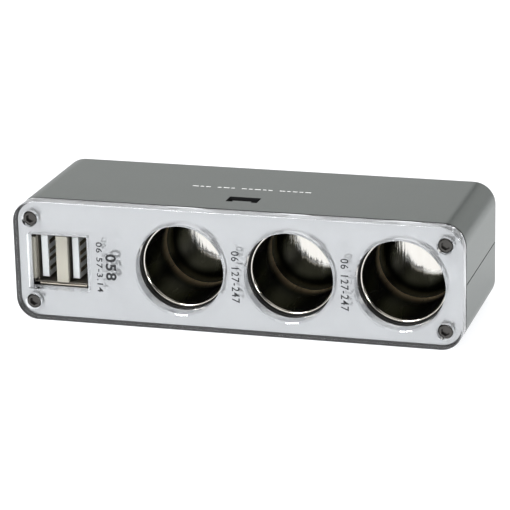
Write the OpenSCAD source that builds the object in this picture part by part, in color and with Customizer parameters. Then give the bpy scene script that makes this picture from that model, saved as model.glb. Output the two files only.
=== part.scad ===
// Car power socket splitter: a flat housing with three accessory sockets and a
// pair of USB outlets behind one clear front plate.
// Inside the modules, x runs to the right, y runs back from the front of the
// plate and z is measured from mid-height. on_base() then moves every piece so
// that the origin is the centre of the housing's base.

/* [Front plate] */
// Width of the clear plate and of the housing
plate_w = 116.1; // [115.4:0.1:119]
// Height of the clear plate and of the housing
plate_h = 31.5; // [31.2:0.1:34]
// Thickness of the clear plate
plate_t = 3.2; // [2.8:0.1:3.8]
// Corner radius of the plate and of the housing
corner_r = 5.75; // [5:0.05:6.2]
// Rounding of the plate's polished edges
plate_edge_r = 0.4; // [0.2:0.05:0.6]
// Thickness of the silver backing film
foil_t = 0.15; // [0.1:0.01:0.25]
// Clear margin between the film and the plate's outline
foil_inset = 0.75; // [0.5:0.05:1.2]
// Bevel round each socket hole in the plate
hole_bevel = 0.5; // [0.2:0.05:0.8]

/* [Housing] */
// Depth from the front of the plate to the back of the housing
body_depth = 41.5; // [41:0.1:46]
// Wall of the two shells
shell_wall = 2; // [1.6:0.1:2.2]
// Rounding of the shells' back edges
back_edge_r = 1.75; // [1:0.05:2.2]
// Height of the shadow groove between the shells
seam_h = 0.3; // [0.2:0.05:0.6]
// Depth of the shadow groove between the shells
seam_depth = 0.6; // [0.4:0.05:1]
// Overlap of the locating lip on the lower shell
lap_h = 1.4; // [0.8:0.1:2]
// Thickness of the locating lip
lap_t = 0.8; // [0.6:0.05:1]

/* [Bracket slot] */
// Length of the slot in the top
slot_w = 8.2; // [7:0.1:9]
// Width of the slot in the top
slot_d = 4.2; // [3.6:0.1:5]
// Distance from the plate's front to the slot
slot_y = 10.3; // [9.5:0.1:12]
// Offset of the slot from the middle of the housing
slot_x = -0.7; // [-1.2:0.1:0]
// Length of the lip in the slot
slot_lip_w = 5; // [3:0.1:6]
// How far the lip stands into the slot
slot_lip_d = 1.1; // [0.6:0.1:1.6]
// Thickness of the lip in the slot
slot_lip_t = 1.2; // [0.8:0.1:1.6]

/* [Carrier] */
// Thickness of the carrier's rim that shows between plate and shells
rim_t = 0.6; // [0.4:0.05:1]
// How far the rim stands back from the shells' outline
rim_inset = 0.05; // [0.05:0.05:0.4]
// Thickness of the carrier's panel inside the shells
panel_t = 1.6; // [1.2:0.1:2]
// Wall of the round wells that hold the sockets
well_wall = 1.2; // [1:0.05:1.4]
// Thickness of the wells' floors and of the web that joins them
web_t = 1.5; // [1.2:0.1:2]
// Radius of the posts that carry the positive bar
post_r = 2.4; // [2:0.1:2.6]

/* [Sockets] */
// Distance between neighbouring sockets
socket_pitch = 28.2; // [27.8:0.1:28.6]
// Distance of the last socket from the housing's right end
socket_edge_x = 15.9; // [15.4:0.05:16.2]
// Inner radius of the metal cup
cup_r = 10.65; // [10.5:0.05:10.8]
// Sheet thickness of the cup
cup_wall = 0.4; // [0.3:0.05:0.5]
// Room behind the cups' floors for the contacts and the bars
rear_room = 14.9; // [14.3:0.05:15.8]
// Setback of the cup's lip behind the carrier's face
lip_setback = 2.4; // [2:0.1:2.8]
// How far the lip's rim flares out from the cup's inner wall
lip_flare = 0.25; // [0.1:0.05:0.4]
// Depth of the lip's rolled bead
lip_t = 0.5; // [0.4:0.05:0.8]
// Inner radius of the bend between the cup's wall and its floor
cup_bend_r = 0.8; // [0.5:0.05:0.8]
// How much wider the cup is pressed round the contact's head
cup_relief = 0.2; // [0.15:0.05:0.25]

/* [Contacts] */
// Gap between the contact's flat head and the cup's wall
contact_head_gap = 0.2; // [0.15:0.05:0.4]
// Thickness of the contact's head
contact_head_t = 0.4; // [0.3:0.05:0.5]
// Travel of the contact when a plug presses it
contact_travel = 0.8; // [0.6:0.05:0.9]
// Radius of the contact's stem
stem_r = 1.2; // [1:0.05:1.4]
// Thickness of the insulating bush's flange on the cup's floor
bush_flange_t = 0.4; // [0.3:0.05:0.5]
// Radius of the insulating bush's flange
bush_flange_r = 3; // [2.8:0.1:3.4]
// Radius of the insulating bush's stem
bush_r = 2.2; // [2:0.05:2.4]
// How far the bush stands out behind the carrier's web
bush_tail = 2.4; // [2.2:0.1:3]
// Wire radius of the contact spring
spring_wire_r = 0.25; // [0.2:0.01:0.3]
// Radius to the middle of the spring's wire
spring_r = 1.9; // [1.8:0.05:2]
// Number of the spring's coils
spring_turns = 5; // [4:1:6]

/* [Current bars] */
// Thickness of the positive bar
bar_t = 0.8; // [0.6:0.05:1]
// Height of the positive bar
bar_h = 6.4; // [5.6:0.1:7]
// Length of the carrier's posts behind the web
post_len = 8.4; // [8:0.1:9]
// How far both bars run past the outer sockets
bar_overhang = 6; // [5:0.1:7]
// Thickness of the ground strip
ground_t = 0.5; // [0.4:0.05:0.7]
// Height of the ground strip
ground_h = 3.4; // [3.2:0.1:4]
// Distance of the ground strip below the sockets' axis
ground_drop = 7.6; // [7.4:0.1:7.8]

/* [USB outlets] */
// Distance of the window's middle from the housing's left end
usb_edge_x = 11.65; // [11.45:0.05:11.85]
// Height of the window's middle
usb_z = -0.2; // [-0.4:0.05:0.1]
// Width of the window in the plate
window_w = 16; // [15.6:0.1:16.4]
// Height of the window in the plate
window_h = 14.6; // [14.2:0.1:15]
// Distance between the two ports
port_pitch = 8.3; // [8.2:0.05:8.4]
// Clear width of one port
port_w = 5.2; // [5.1:0.05:5.3]
// Clear height of one port
port_h = 12.2; // [11.9:0.1:12.5]
// Thickness of a port's tongue
tongue_t = 1.84; // [1.7:0.02:1.95]
// Height of a port's tongue
tongue_h = 11.1; // [10.8:0.1:11.3]
// Length of a port's tongue
tongue_len = 8.9; // [8.4:0.1:9.4]
// Sheet thickness of the metal shield
shield_wall = 0.35; // [0.25:0.05:0.4]
// Length of the metal shield
shield_len = 16; // [15:0.1:17]

/* [Circuit board] */
// Thickness of the circuit board
board_t = 1.6; // [1.2:0.1:1.8]
// Gap above and below the circuit board
board_edge_gap = 1.25; // [1:0.05:1.8]
// Gap between the circuit board's end and the back wall
board_end_gap = 2.85; // [2:0.05:3.4]
// Outer radius of the choke's ring
choke_r = 4; // [3.6:0.1:4.2]
// Radius of the large capacitor
big_cap_r = 4; // [3.2:0.1:4.2]
// Height of the large capacitor
big_cap_h = 7; // [6:0.1:7.6]
// Radius of the small capacitor
small_cap_r = 3.15; // [2.5:0.05:3.4]
// Height of the small capacitor
small_cap_h = 6; // [5:0.1:7.6]

/* [Screws and cord inlet] */
// Distance of the plate's screws from its ends
screw_edge_x = 4.55; // [4.3:0.05:4.8]
// Distance of the plate's screws from its long edges
screw_edge_z = 4.75; // [4.5:0.05:5]
// Radius of a screw's head
screw_head_r = 1.8; // [1.6:0.05:1.9]
// Height of a screw's head
screw_head_h = 1.6; // [1.2:0.1:1.7]
// Radius of a screw's shank
screw_r = 1; // [0.9:0.05:1.05]
// Length of a plate screw's shank
plate_screw_len = 10; // [8:0.5:12]
// Setback of a screw's head below the surface round it
screw_sink = 0.5; // [0.3:0.1:0.7]
// Radius of the cord inlet's bore
inlet_r = 2.6; // [2.2:0.1:3]
// Distance of the cord inlet from the housing's end
inlet_edge_x = 14; // [13:0.1:15]

/* [Hidden] */

// Overrun of a cut past the face that it opens
cut = 0.5;
// Gap of a running fit, such as the contact in its bush
run_gap = 0.06;
// Gap round a piece that drops into its seat
seat_gap = 0.1;
// Gap between a moving piece and its stop at rest
stop_gap = 0.05;
$fn = 64;

// Places along the depth
foil_y = plate_t;
rim_y = foil_y + foil_t;
shell_y = rim_y + rim_t;
panel_back_y = shell_y + panel_t;
lip_y = rim_y + lip_setback;
inner_back_y = body_depth - shell_wall;
floor_y = inner_back_y - rear_room;
cup_depth = floor_y - lip_y;
cup_back_y = floor_y + cup_wall;
web_back_y = cup_back_y + web_t;
bar_y = web_back_y + post_len;

// Sockets
socket_x = plate_w / 2 - socket_edge_x - 2 * socket_pitch;
socket_xs = [for (i = [0 : 2]) socket_x + i * socket_pitch];
between_xs = [for (i = [0 : 1]) socket_x + (i + 0.5) * socket_pitch];
tube_r = cup_r + cup_wall;
tube_hole_r = tube_r + seat_gap;
lip_r = tube_r + lip_flare;
mouth_chamfer = 0.1;
mouth_r = lip_r + seat_gap;
mouth_step = 0.15;
mouth_step_depth_share = 0.5;
well_outer_r = tube_hole_r + well_wall;
plate_hole_r = mouth_r;

// Contacts
contact_head_r = cup_r - contact_head_gap;
head_front_y = floor_y - bush_flange_t - contact_travel - stop_gap - contact_head_t;
bush_front_y = floor_y - bush_flange_t;
relief_lead = 0.15;
relief_depth = head_front_y - relief_lead - lip_y;
bush_back_y = web_back_y + bush_tail;
stem_hole_r = stem_r + run_gap;
clip_t = 0.6;
clip_rim = 0.85;
clip_r = bush_r + clip_rim;
seat_front_y = bush_back_y + stop_gap;
seat_t = 0.7;
seat_r = spring_r + 2 * spring_wire_r;
stem_tail = 0.4;
spring_front_y = seat_front_y + seat_t + stop_gap;
spring_back_y = bar_y - stop_gap;

// Screws
shank_hole_r = screw_r + seat_gap;
pilot_r = screw_r + stop_gap;
head_gap = 0.4;
head_hole_r = screw_head_r + head_gap;
plate_screw_x = plate_w / 2 - screw_edge_x;
plate_screw_z = plate_h / 2 - screw_edge_z;
head_seat_y = screw_sink + screw_head_h;
hex_key = 1.5;
hex_r = hex_key / sqrt(3);
hex_depth = 0.9;
boss_wall = 2;
boss_r = screw_r + boss_wall;
boss_len = plate_screw_len + head_seat_y - panel_back_y + boss_wall;
rear_screw_x = plate_w / 2 - shell_wall - lap_t - boss_r - seat_gap;
rear_screw_y = inner_back_y - lap_t - boss_r - seat_gap;
rear_screw_len = 12;
rear_grip = 8;
bar_screw_len = 4;
bar_head_h = 1.2;

// USB outlets
divider_w = port_pitch - port_w;
stack_drop = 0.35;
stack_z = usb_z - stack_drop;
stack_shift = -0.3;
usb_x = usb_edge_x - plate_w / 2;
stack_x = usb_x + stack_shift;
port_xs = [stack_x - port_pitch / 2, stack_x + port_pitch / 2];
side_strip = 0.9;
liner_t = 0.3;
shield_in_w = port_pitch + port_w + 2 * side_strip;
shield_in_h = port_h + 2 * seat_gap;
shield_w = shield_in_w + 2 * shield_wall;
shield_h = shield_in_h + 2 * shield_wall;
shield_set = 1.3;
shield_y = rim_y + shield_set;
insulator_y = shield_y - rim_t;
insulator_face_t = 1;
liner_y = insulator_y + insulator_face_t + stop_gap;
tongue_set = 1.4;
tongue_y = shield_y + tongue_set;
tongue_shift = -1.15;
stack_block_y = tongue_y + tongue_len;
shield_back_y = shield_y + shield_len;
lip_flap_h = 0.6;
lip_flap_w = port_pitch + port_w - side_strip;
pin_ws = [-3.5, -1, 1, 3.5];
pin_width = 1;
pin_t = 0.15;
pin_set = 0.7;
usb_hole_w = shield_w + 2 * seat_gap;
usb_hole_h = shield_h + 2 * lip_flap_h + 2 * seat_gap;

// Circuit board
board_gap = 1.25;
board_x = stack_x + shield_w / 2 + board_gap;
board_face_x = board_x + board_t;
board_y = panel_back_y + seat_gap;
board_len = inner_back_y - board_end_gap - board_y;
board_h = plate_h - 2 * shell_wall - 2 * board_edge_gap;
rail_w = 1;
rail_len = 14;
rail_h = 1.2;
choke_y = panel_back_y + choke_r + 2 * rail_w;
choke_z = -board_h / 4;
choke_h = 3.2;
choke_bore_share = 0.5;
winding_t = 0.5;
lead_r = 0.8;
ground_lead_y = web_back_y + lead_r + stop_gap;
part_gap = 0.25;
cap_y = ground_lead_y + lead_r + part_gap + big_cap_r;
chip_w = 5;
chip_h = 4;
chip_t = 1.5;
diode_w = 4.6;
diode_h = 2.6;
diode_t = 2.1;

// Cord inlet
inlet_x = inlet_edge_x - plate_w / 2;
inlet_wall = 1.8;
neck_r = inlet_r + inlet_wall;
inlet_rim = 1.6;
inlet_flange_r = neck_r + inlet_rim;
inlet_flange_t = 1.5;

// Moves a piece from the drawing frame to the frame of the base
module on_base()
    translate([0, -body_depth / 2, plate_h / 2]) children();

// Turns a shape that stands along z so that it runs back along y
module along_y()
    rotate([-90, 0, 0]) children();

// A rod along y from y0 to y1 at the place x, z
module rod_y(x, z, y0, y1, r)
    translate([x, y0, z]) along_y() cylinder(r = r, h = y1 - y0);

// A cone along y from y0 to y1 at the place x, z
module cone_y(x, z, y0, y1, r0, r1)
    translate([x, y0, z]) along_y() cylinder(r1 = r0, r2 = r1, h = y1 - y0);

// A box from its low corner to its high corner
module span(low, high)
    translate(low) cube(high - low);

// Half outline of a rounded edge: x is the distance from the axis, y the depth
module edge_profile(reach, depth, front_r, back_r) {
    translate([0, front_r]) square([reach, depth - front_r - back_r]);
    square([reach - front_r, depth - back_r]);
    translate([0, front_r]) square([reach - back_r, depth - front_r]);
    if (front_r > 0) translate([reach - front_r, front_r]) circle(r = front_r);
    if (back_r > 0) translate([reach - back_r, depth - back_r]) circle(r = back_r);
}

// The same outline on both sides of the axis
module slab_profile(reach, depth, front_r, back_r) {
    edge_profile(reach, depth, front_r, back_r);
    mirror([1, 0]) edge_profile(reach, depth, front_r, back_r);
}

// A block with rounded corners and rounded front and back edges, from y0 to y1
module soft_block(w, h, r, y0, y1, front_r, back_r) {
    depth = y1 - y0;
    translate([0, y0, 0]) {
        translate([0, 0, r - h / 2]) linear_extrude(h - 2 * r)
            slab_profile(w / 2, depth, front_r, back_r);
        translate([r - w / 2, 0, 0]) rotate([0, 90, 0]) linear_extrude(w - 2 * r)
            slab_profile(h / 2, depth, front_r, back_r);
        for (x = [r - w / 2, w / 2 - r], z = [r - h / 2, h / 2 - r])
            translate([x, 0, z]) along_y() rotate_extrude()
                edge_profile(r, depth, front_r, back_r);
    }
}

// The block that follows the housing's outline, drawn in by inset all round
module outline_block(inset, y0, y1, back_r = 0, front_r = 0)
    soft_block(plate_w - 2 * inset, plate_h - 2 * inset, corner_r - inset, y0, y1, front_r, back_r);

module at_plate_screws(sides = [-1, 1])
    for (x = [-plate_screw_x, plate_screw_x], side = sides)
        translate([x, 0, side * plate_screw_z]) children();

module window_cut(y0, y1, grow = 0)
    span([usb_x - window_w / 2 - grow, y0, usb_z - window_h / 2 - grow],
         [usb_x + window_w / 2 + grow, y1, usb_z + window_h / 2 + grow]);

module face_plate()
    color([0.92, 0.95, 0.97, 0.45]) on_base() difference() {
        outline_block(0, 0, plate_t, plate_edge_r / 2, plate_edge_r);
        for (x = socket_xs) {
            rod_y(x, 0, -cut, plate_t + cut, plate_hole_r);
            cone_y(x, 0, -cut, hole_bevel, plate_hole_r + hole_bevel + cut, plate_hole_r);
        }
        window_cut(-cut, plate_t + cut);
        at_plate_screws() {
            rod_y(0, 0, -cut, head_seat_y, head_hole_r);
            rod_y(0, 0, -cut, plate_t + cut, shank_hole_r);
        }
    }

module foil_panel()
    color([0.84, 0.86, 0.87]) on_base() difference() {
        outline_block(foil_inset, foil_y, rim_y);
        for (x = socket_xs) rod_y(x, 0, foil_y - cut, rim_y + cut, plate_hole_r);
        window_cut(foil_y - cut, rim_y + cut);
        at_plate_screws() rod_y(0, 0, foil_y - cut, rim_y + cut, shank_hole_r);
    }

// A cap screw along y with its head's front at y0
module cap_screw(y0, head_h, shank_len)
    difference() {
        union() {
            rod_y(0, 0, y0, y0 + head_h, screw_head_r);
            rod_y(0, 0, y0 + head_h / 2, y0 + head_h + shank_len, screw_r);
        }
        translate([0, y0 - cut, 0]) along_y() cylinder(r = hex_r, h = hex_depth + cut, $fn = 6);
    }

module plate_screws()
    color([0.12, 0.12, 0.13]) on_base()
        at_plate_screws() cap_screw(screw_sink, screw_head_h, plate_screw_len);

module well_bores()
    for (x = socket_xs) {
        step_y = rim_y + mouth_step_depth_share * lip_setback;
        rod_y(x, 0, rim_y - cut, step_y, mouth_r + mouth_step);
        rod_y(x, 0, rim_y, lip_y + lip_t, mouth_r);
        rod_y(x, 0, rim_y, cup_back_y, tube_hole_r);
        rod_y(x, 0, rim_y, web_back_y + cut, bush_r + seat_gap);
        span([x - ground_h / 2 - seat_gap, cup_back_y - cut, -ground_drop - ground_h / 2 - seat_gap],
             [x + ground_h / 2 + seat_gap, web_back_y + cut, -ground_drop + ground_h / 2 + seat_gap]);
    }

module board_rails()
    for (side = [-1, 1]) {
        edge_z = board_h / 2;
        z0 = edge_z - rail_h;
        mirror([0, 0, side < 0 ? 1 : 0]) difference() {
            span([board_x - rail_w, panel_back_y - panel_t / 2, z0],
                 [board_face_x + rail_w, panel_back_y + rail_len, edge_z + rail_h / 2]);
            span([board_x - stop_gap, board_y - stop_gap, z0 - cut],
                 [board_face_x + stop_gap, board_y + board_len, edge_z + stop_gap]);
        }
    }

module carrier()
    color([0.08, 0.08, 0.085]) on_base() difference() {
        union() {
            outline_block(rim_inset, rim_y, shell_y);
            outline_block(shell_wall + seat_gap, rim_y, panel_back_y);
            for (x = socket_xs) {
                rod_y(x, 0, rim_y, web_back_y, well_outer_r);
            }
            span([socket_xs[0], cup_back_y, -ground_drop - ground_h], [socket_xs[2], web_back_y, ground_drop]);
            for (x = between_xs) {
                rod_y(x, 0, cup_back_y, bar_y, post_r);
                rod_y(x, -ground_drop, cup_back_y - bar_screw_len, web_back_y, post_r);
            }
            board_rails();
        }
        well_bores();
        for (x = between_xs) {
            rod_y(x, 0, bar_y - bar_screw_len, bar_y + cut, pilot_r);
            rod_y(x, -ground_drop, web_back_y - bar_screw_len, web_back_y + cut, pilot_r);
        }
        at_plate_screws() rod_y(0, 0, rim_y - cut, panel_back_y + cut, shank_hole_r);
        span([stack_x - usb_hole_w / 2, rim_y - cut, stack_z - usb_hole_h / 2],
             [stack_x + usb_hole_w / 2, panel_back_y + cut, stack_z + usb_hole_h / 2]);
    }

// The two shells together, before they are parted at mid-height
module housing_shell() {
    difference() {
        outline_block(0, shell_y, body_depth, back_edge_r);
        outline_block(shell_wall, shell_y - cut, inner_back_y);
        rod_y(inlet_x, 0, inner_back_y - cut, body_depth + cut, neck_r + seat_gap);
    }
}

module front_bosses(side)
    intersection() {
        at_plate_screws([side]) rod_y(0, 0, panel_back_y + stop_gap, panel_back_y + boss_len, boss_r);
        outline_block(shell_wall / 2, shell_y, inner_back_y);
    }

module front_pilots(side)
    at_plate_screws([side]) rod_y(0, 0, panel_back_y - cut, head_seat_y + plate_screw_len + cut, pilot_r);

module at_rear_screws()
    for (x = [-rear_screw_x, rear_screw_x]) translate([x, rear_screw_y, 0]) children();

module top_shell()
    color([0.47, 0.49, 0.48]) on_base() difference() {
        union() {
            intersection() {
                housing_shell();
                span([-plate_w, 0, 0], [plate_w, body_depth + cut, plate_h]);
            }
            front_bosses(1);
            at_rear_screws() cylinder(r = boss_r, h = plate_h / 2 - shell_wall / 2);
        }
        difference() {
            outline_block(-cut, shell_y - cut, body_depth + cut);
            outline_block(seam_depth, shell_y - 2 * cut, body_depth - seam_depth);
            span([-plate_w, 0, seam_h], [plate_w, body_depth + 2 * cut, plate_h]);
        }
        front_pilots(1);
        at_rear_screws() translate([0, 0, -cut]) cylinder(r = pilot_r, h = rear_screw_len - rear_grip + 2 * cut);
        difference() {
            span([slot_x - slot_w / 2, slot_y, plate_h / 2 - shell_wall - cut],
                 [slot_x + slot_w / 2, slot_y + slot_d, plate_h / 2 + cut]);
            span([slot_x - slot_lip_w / 2, slot_y - cut, plate_h / 2 - slot_lip_t],
                 [slot_x + slot_lip_w / 2, slot_y + slot_lip_d, plate_h]);
        }
    }

module bottom_shell()
    color([0.47, 0.49, 0.48]) on_base() difference() {
        union() {
            intersection() {
                housing_shell();
                span([-plate_w, 0, -plate_h], [plate_w, body_depth + cut, 0]);
            }
            difference() {
                union() {
                    outline_block(shell_wall + stop_gap, panel_back_y + stop_gap, inner_back_y - stop_gap);
                    difference() { // the foot that joins the locating lip to the wall
                        outline_block(shell_wall / 2, panel_back_y + stop_gap, inner_back_y + shell_wall / 2);
                        span([-plate_w, 0, -lap_h / 2], [plate_w, body_depth, plate_h]);
                    }
                }
                outline_block(shell_wall + lap_t, panel_back_y - cut, inner_back_y - lap_t);
                span([-plate_w, 0, lap_h], [plate_w, body_depth, plate_h]);
                span([-plate_w, 0, -plate_h], [plate_w, body_depth, -lap_h]);
                rod_y(inlet_x, 0, inner_back_y - body_depth / 2, body_depth, inlet_flange_r + seat_gap);
            }
            front_bosses(-1);
            at_rear_screws() translate([0, 0, -plate_h / 2 + shell_wall / 2])
                cylinder(r = boss_r, h = plate_h / 2 - shell_wall / 2);
        }
        front_pilots(-1);
        at_rear_screws() {
            translate([0, 0, -plate_h]) cylinder(r = shank_hole_r, h = plate_h + cut);
            translate([0, 0, -plate_h]) cylinder(r = head_hole_r, h = plate_h - rear_grip);
        }
    }

module shell_screws()
    color([0.12, 0.12, 0.13]) on_base()
        at_rear_screws() rotate([90, 0, 0])
            cap_screw(-rear_grip - screw_head_h, screw_head_h, rear_screw_len);

module socket_cup(i)
    color([0.62, 0.6, 0.56]) on_base() translate([socket_xs[i], lip_y, 0]) along_y() rotate_extrude() difference() {
        union() {
            edge_profile(tube_r, cup_depth + cup_wall, 0, cup_bend_r + cup_wall);
            edge_profile(lip_r, lip_t, lip_t / 2, 0);
        }
        translate([0, -cut]) square([cup_r, relief_depth + 2 * cut]);
        translate([0, relief_depth]) edge_profile(cup_r + cup_relief, cup_depth - relief_depth, 0, cup_bend_r);
        polygon([[0, -cut], [cup_r + mouth_chamfer, -cut], [cup_r + mouth_chamfer, 0], [cup_r, mouth_chamfer], [0, mouth_chamfer]]);
        square([bush_r + seat_gap, cup_depth + cup_wall + cut]);
    }

module insulating_bush(i)
    color([0.06, 0.06, 0.06]) on_base() translate([socket_xs[i], 0, 0]) difference() {
        union() {
            rod_y(0, 0, bush_front_y, floor_y, bush_flange_r);
            rod_y(0, 0, floor_y - bush_flange_t / 2, bush_back_y, bush_r);
        }
        rod_y(0, 0, bush_front_y - cut, bush_back_y + cut, stem_hole_r);
    }

module contact(i)
    color([0.75, 0.72, 0.62]) on_base() translate([socket_xs[i], 0, 0]) {
        translate([0, head_front_y, 0]) along_y() rotate_extrude()
            edge_profile(contact_head_r, contact_head_t, contact_head_t / 2, 0);
        rod_y(0, 0, head_front_y + contact_head_t / 2, seat_front_y + seat_t + stem_tail, stem_r);
    }

module spring_seat(i)
    color([0.8, 0.66, 0.3]) on_base() translate([socket_xs[i], 0, 0]) difference() {
        rod_y(0, 0, seat_front_y, seat_front_y + seat_t, seat_r);
        rod_y(0, 0, seat_front_y - cut, seat_front_y + seat_t + cut, stem_r);
    }

module contact_spring(i)
    color([0.7, 0.7, 0.68]) on_base() translate([socket_xs[i], 0, 0])
        coil(spring_front_y + spring_wire_r, spring_back_y - spring_wire_r, spring_turns, spring_r, spring_wire_r);

// A helix of round wire along y, from y0 to y1
module coil(y0, y1, turns, r, wire_r) {
    sides = 6;
    steps = 14 * turns;
    points = [
        for (s = [0 : steps], k = [0 : sides - 1])
            let (turn = 360 * turns * s / steps, lean = 360 * k / sides, reach = r + wire_r * cos(lean))
            [reach * cos(turn), y0 + (y1 - y0) * s / steps + wire_r * sin(lean), reach * sin(turn)]
    ];
    walls = [
        for (s = [0 : steps - 1], k = [0 : sides - 1])
            let (a = s * sides + k, b = s * sides + (k + 1) % sides)
            [a, b, b + sides, a + sides]
    ];
    polyhedron(
        points = points,
        faces = concat([[for (k = [sides - 1 : -1 : 0]) k]], walls,
                       [[for (k = [0 : sides - 1]) steps * sides + k]]),
        convexity = 8);
}

module bush_clips()
    color([0.66, 0.66, 0.66]) on_base()
        for (x = socket_xs) difference() {
            rod_y(x, 0, web_back_y, web_back_y + clip_t, clip_r);
            rod_y(x, 0, web_back_y - cut, web_back_y + clip_t + cut, bush_r + stop_gap);
        }

module positive_bar()
    color([0.8, 0.66, 0.3]) on_base() difference() {
        span([socket_xs[0] - bar_overhang, bar_y, -bar_h / 2], [socket_xs[2] + bar_overhang, bar_y + bar_t, bar_h / 2]);
        for (x = between_xs) rod_y(x, 0, bar_y - cut, bar_y + bar_t + cut, shank_hole_r);
        for (x = socket_xs) rod_y(x, 0, bar_y - cut, bar_y + bar_t + cut, stem_hole_r);
    }

module ground_strip()
    color([0.66, 0.66, 0.66]) on_base() translate([0, 0, -ground_drop]) difference() {
        union() {
            span([socket_xs[0] - bar_overhang, web_back_y, -ground_h / 2],
                 [socket_xs[2] + bar_overhang, web_back_y + ground_t, ground_h / 2]);
            for (x = socket_xs)
                span([x - ground_h / 2, cup_back_y, -ground_h / 2], [x + ground_h / 2, web_back_y + ground_t / 2, ground_h / 2]);
        }
        for (x = between_xs) rod_y(x, 0, web_back_y - cut, web_back_y + ground_t + cut, shank_hole_r);
    }

module bar_screws()
    color([0.66, 0.66, 0.66]) on_base()
        for (x = between_xs) {
            translate([x, 2 * (bar_y + bar_t) + bar_head_h, 0]) mirror([0, 1, 0])
                cap_screw(bar_y + bar_t, bar_head_h, bar_screw_len - bar_t - stop_gap);
            translate([x, 2 * (web_back_y + ground_t) + bar_head_h, -ground_drop]) mirror([0, 1, 0])
                cap_screw(web_back_y + ground_t, bar_head_h, bar_screw_len - ground_t - stop_gap);
        }

module at_stack()
    translate([stack_x, 0, stack_z]) children();

module usb_shield()
    color([0.8, 0.8, 0.8]) on_base() at_stack() {
        difference() {
            span([-shield_w / 2, shield_y, -shield_h / 2], [shield_w / 2, shield_back_y, shield_h / 2]);
            span([-shield_in_w / 2, shield_y - cut, -shield_in_h / 2],
                 [shield_in_w / 2, shield_back_y - shield_wall, shield_in_h / 2]);
        }
        for (side = [-1, 1]) mirror([0, 0, side < 0 ? 1 : 0])
            span([-lip_flap_w / 2, shield_y, shield_h / 2 - shield_wall / 2],
                 [lip_flap_w / 2, shield_y + lip_flap_h, shield_h / 2 + lip_flap_h]);
        for (side = [-1, 1], x = [divider_w / 2 - liner_t, shield_in_w / 2 - side_strip]) mirror([side < 0 ? 1 : 0, 0, 0])
            span([x, liner_y, -shield_in_h / 2 - shield_wall / 2],
                 [x + liner_t, stack_block_y - stop_gap, shield_in_h / 2 + shield_wall / 2]);
        for (y = [tongue_y, stack_block_y], side = [-1, 1])
            span([shield_w / 2 - shield_wall / 2, y, side * shield_h / 4 - lip_flap_h],
                 [shield_w / 2 + board_gap, y + 2 * lip_flap_h, side * shield_h / 4 + lip_flap_h]);
    }

module usb_insulator()
    color([0.8, 0.79, 0.74]) on_base() at_stack() {
        span([-shield_in_w / 2 + stop_gap, stack_block_y, -port_h / 2],
             [shield_in_w / 2 - stop_gap, shield_back_y - shield_wall, port_h / 2]);
        span([-divider_w / 2, insulator_y, -port_h / 2], [divider_w / 2, liner_y - stop_gap, port_h / 2]);
        span([-divider_w / 2 + liner_t + stop_gap, liner_y - liner_t, -port_h / 2],
             [divider_w / 2 - liner_t - stop_gap, stack_block_y + cut, port_h / 2]);
        for (side = [-1, 1]) mirror([side > 0 ? 1 : 0, 0, 0]) {
            span([-shield_in_w / 2 + stop_gap, insulator_y, -tongue_h / 2],
                 [-shield_in_w / 2 + side_strip, liner_y - stop_gap, tongue_h / 2]);
            span([-shield_in_w / 2 + stop_gap, liner_y - liner_t, -tongue_h / 2],
                 [-shield_in_w / 2 + side_strip - liner_t - stop_gap, stack_block_y + cut, tongue_h / 2]);
        }
    }

module usb_tongues()
    color([0.93, 0.94, 0.94]) on_base() at_stack()
        for (x = port_xs) translate([x - stack_x + tongue_shift, 0, 0])
            span([-tongue_t / 2, tongue_y, -tongue_h / 2], [tongue_t / 2, stack_block_y, tongue_h / 2]);

module usb_contacts()
    color([0.83, 0.68, 0.33]) on_base() at_stack()
        for (x = port_xs, z = pin_ws) translate([x - stack_x + tongue_shift + tongue_t / 2, 0, z])
            span([0, tongue_y + pin_set, -pin_width / 2], [pin_t, stack_block_y, pin_width / 2]);

module circuit_board()
    color([0.13, 0.4, 0.2]) on_base()
        span([board_x, board_y, -board_h / 2 + stop_gap], [board_face_x, board_y + board_len, board_h / 2 - stop_gap]);

// Turns a shape that stands along z so that it stands on the board along x
module on_board(y, z)
    translate([board_face_x, y, z]) rotate([0, 90, 0]) children();

module choke_core()
    color([0.25, 0.26, 0.27]) on_base() on_board(choke_y, choke_z) difference() {
        translate([0, 0, winding_t]) cylinder(r = choke_r - winding_t, h = choke_h);
        cylinder(r = choke_bore_share * choke_r, h = 3 * choke_h);
    }

module choke_winding()
    color([0.72, 0.4, 0.18]) on_base() on_board(choke_y, choke_z) difference() {
        cylinder(r = choke_r, h = choke_h + 2 * winding_t);
        translate([0, 0, -cut]) cylinder(r = choke_bore_share * choke_r - winding_t, h = 3 * choke_h);
        translate([0, 0, winding_t]) difference() {
            cylinder(r = choke_r - winding_t, h = choke_h);
            translate([0, 0, -cut]) cylinder(r = choke_bore_share * choke_r, h = 3 * choke_h);
        }
    }

module capacitor(r, h, y, z)
    on_base() on_board(y, z) {
        cylinder(r = r, h = h);
    }

module big_capacitor()
    color([0.15, 0.17, 0.25]) capacitor(big_cap_r, big_cap_h, cap_y, choke_z);

module small_capacitor()
    color([0.15, 0.17, 0.25]) capacitor(small_cap_r, small_cap_h, cap_y, -choke_z);

module converter_chip()
    color([0.1, 0.1, 0.1]) on_base() on_board(choke_y, -choke_z)
        translate([-chip_h / 2, -chip_w / 2, 0]) cube([chip_h, chip_w, chip_t]);

module rectifier_diode()
    color([0.1, 0.1, 0.1]) on_base() on_board((choke_y + cap_y) / 2, -choke_z)
        translate([-diode_h / 2, -diode_w / 2, 0]) cube([diode_h, diode_w, diode_t]);

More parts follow.
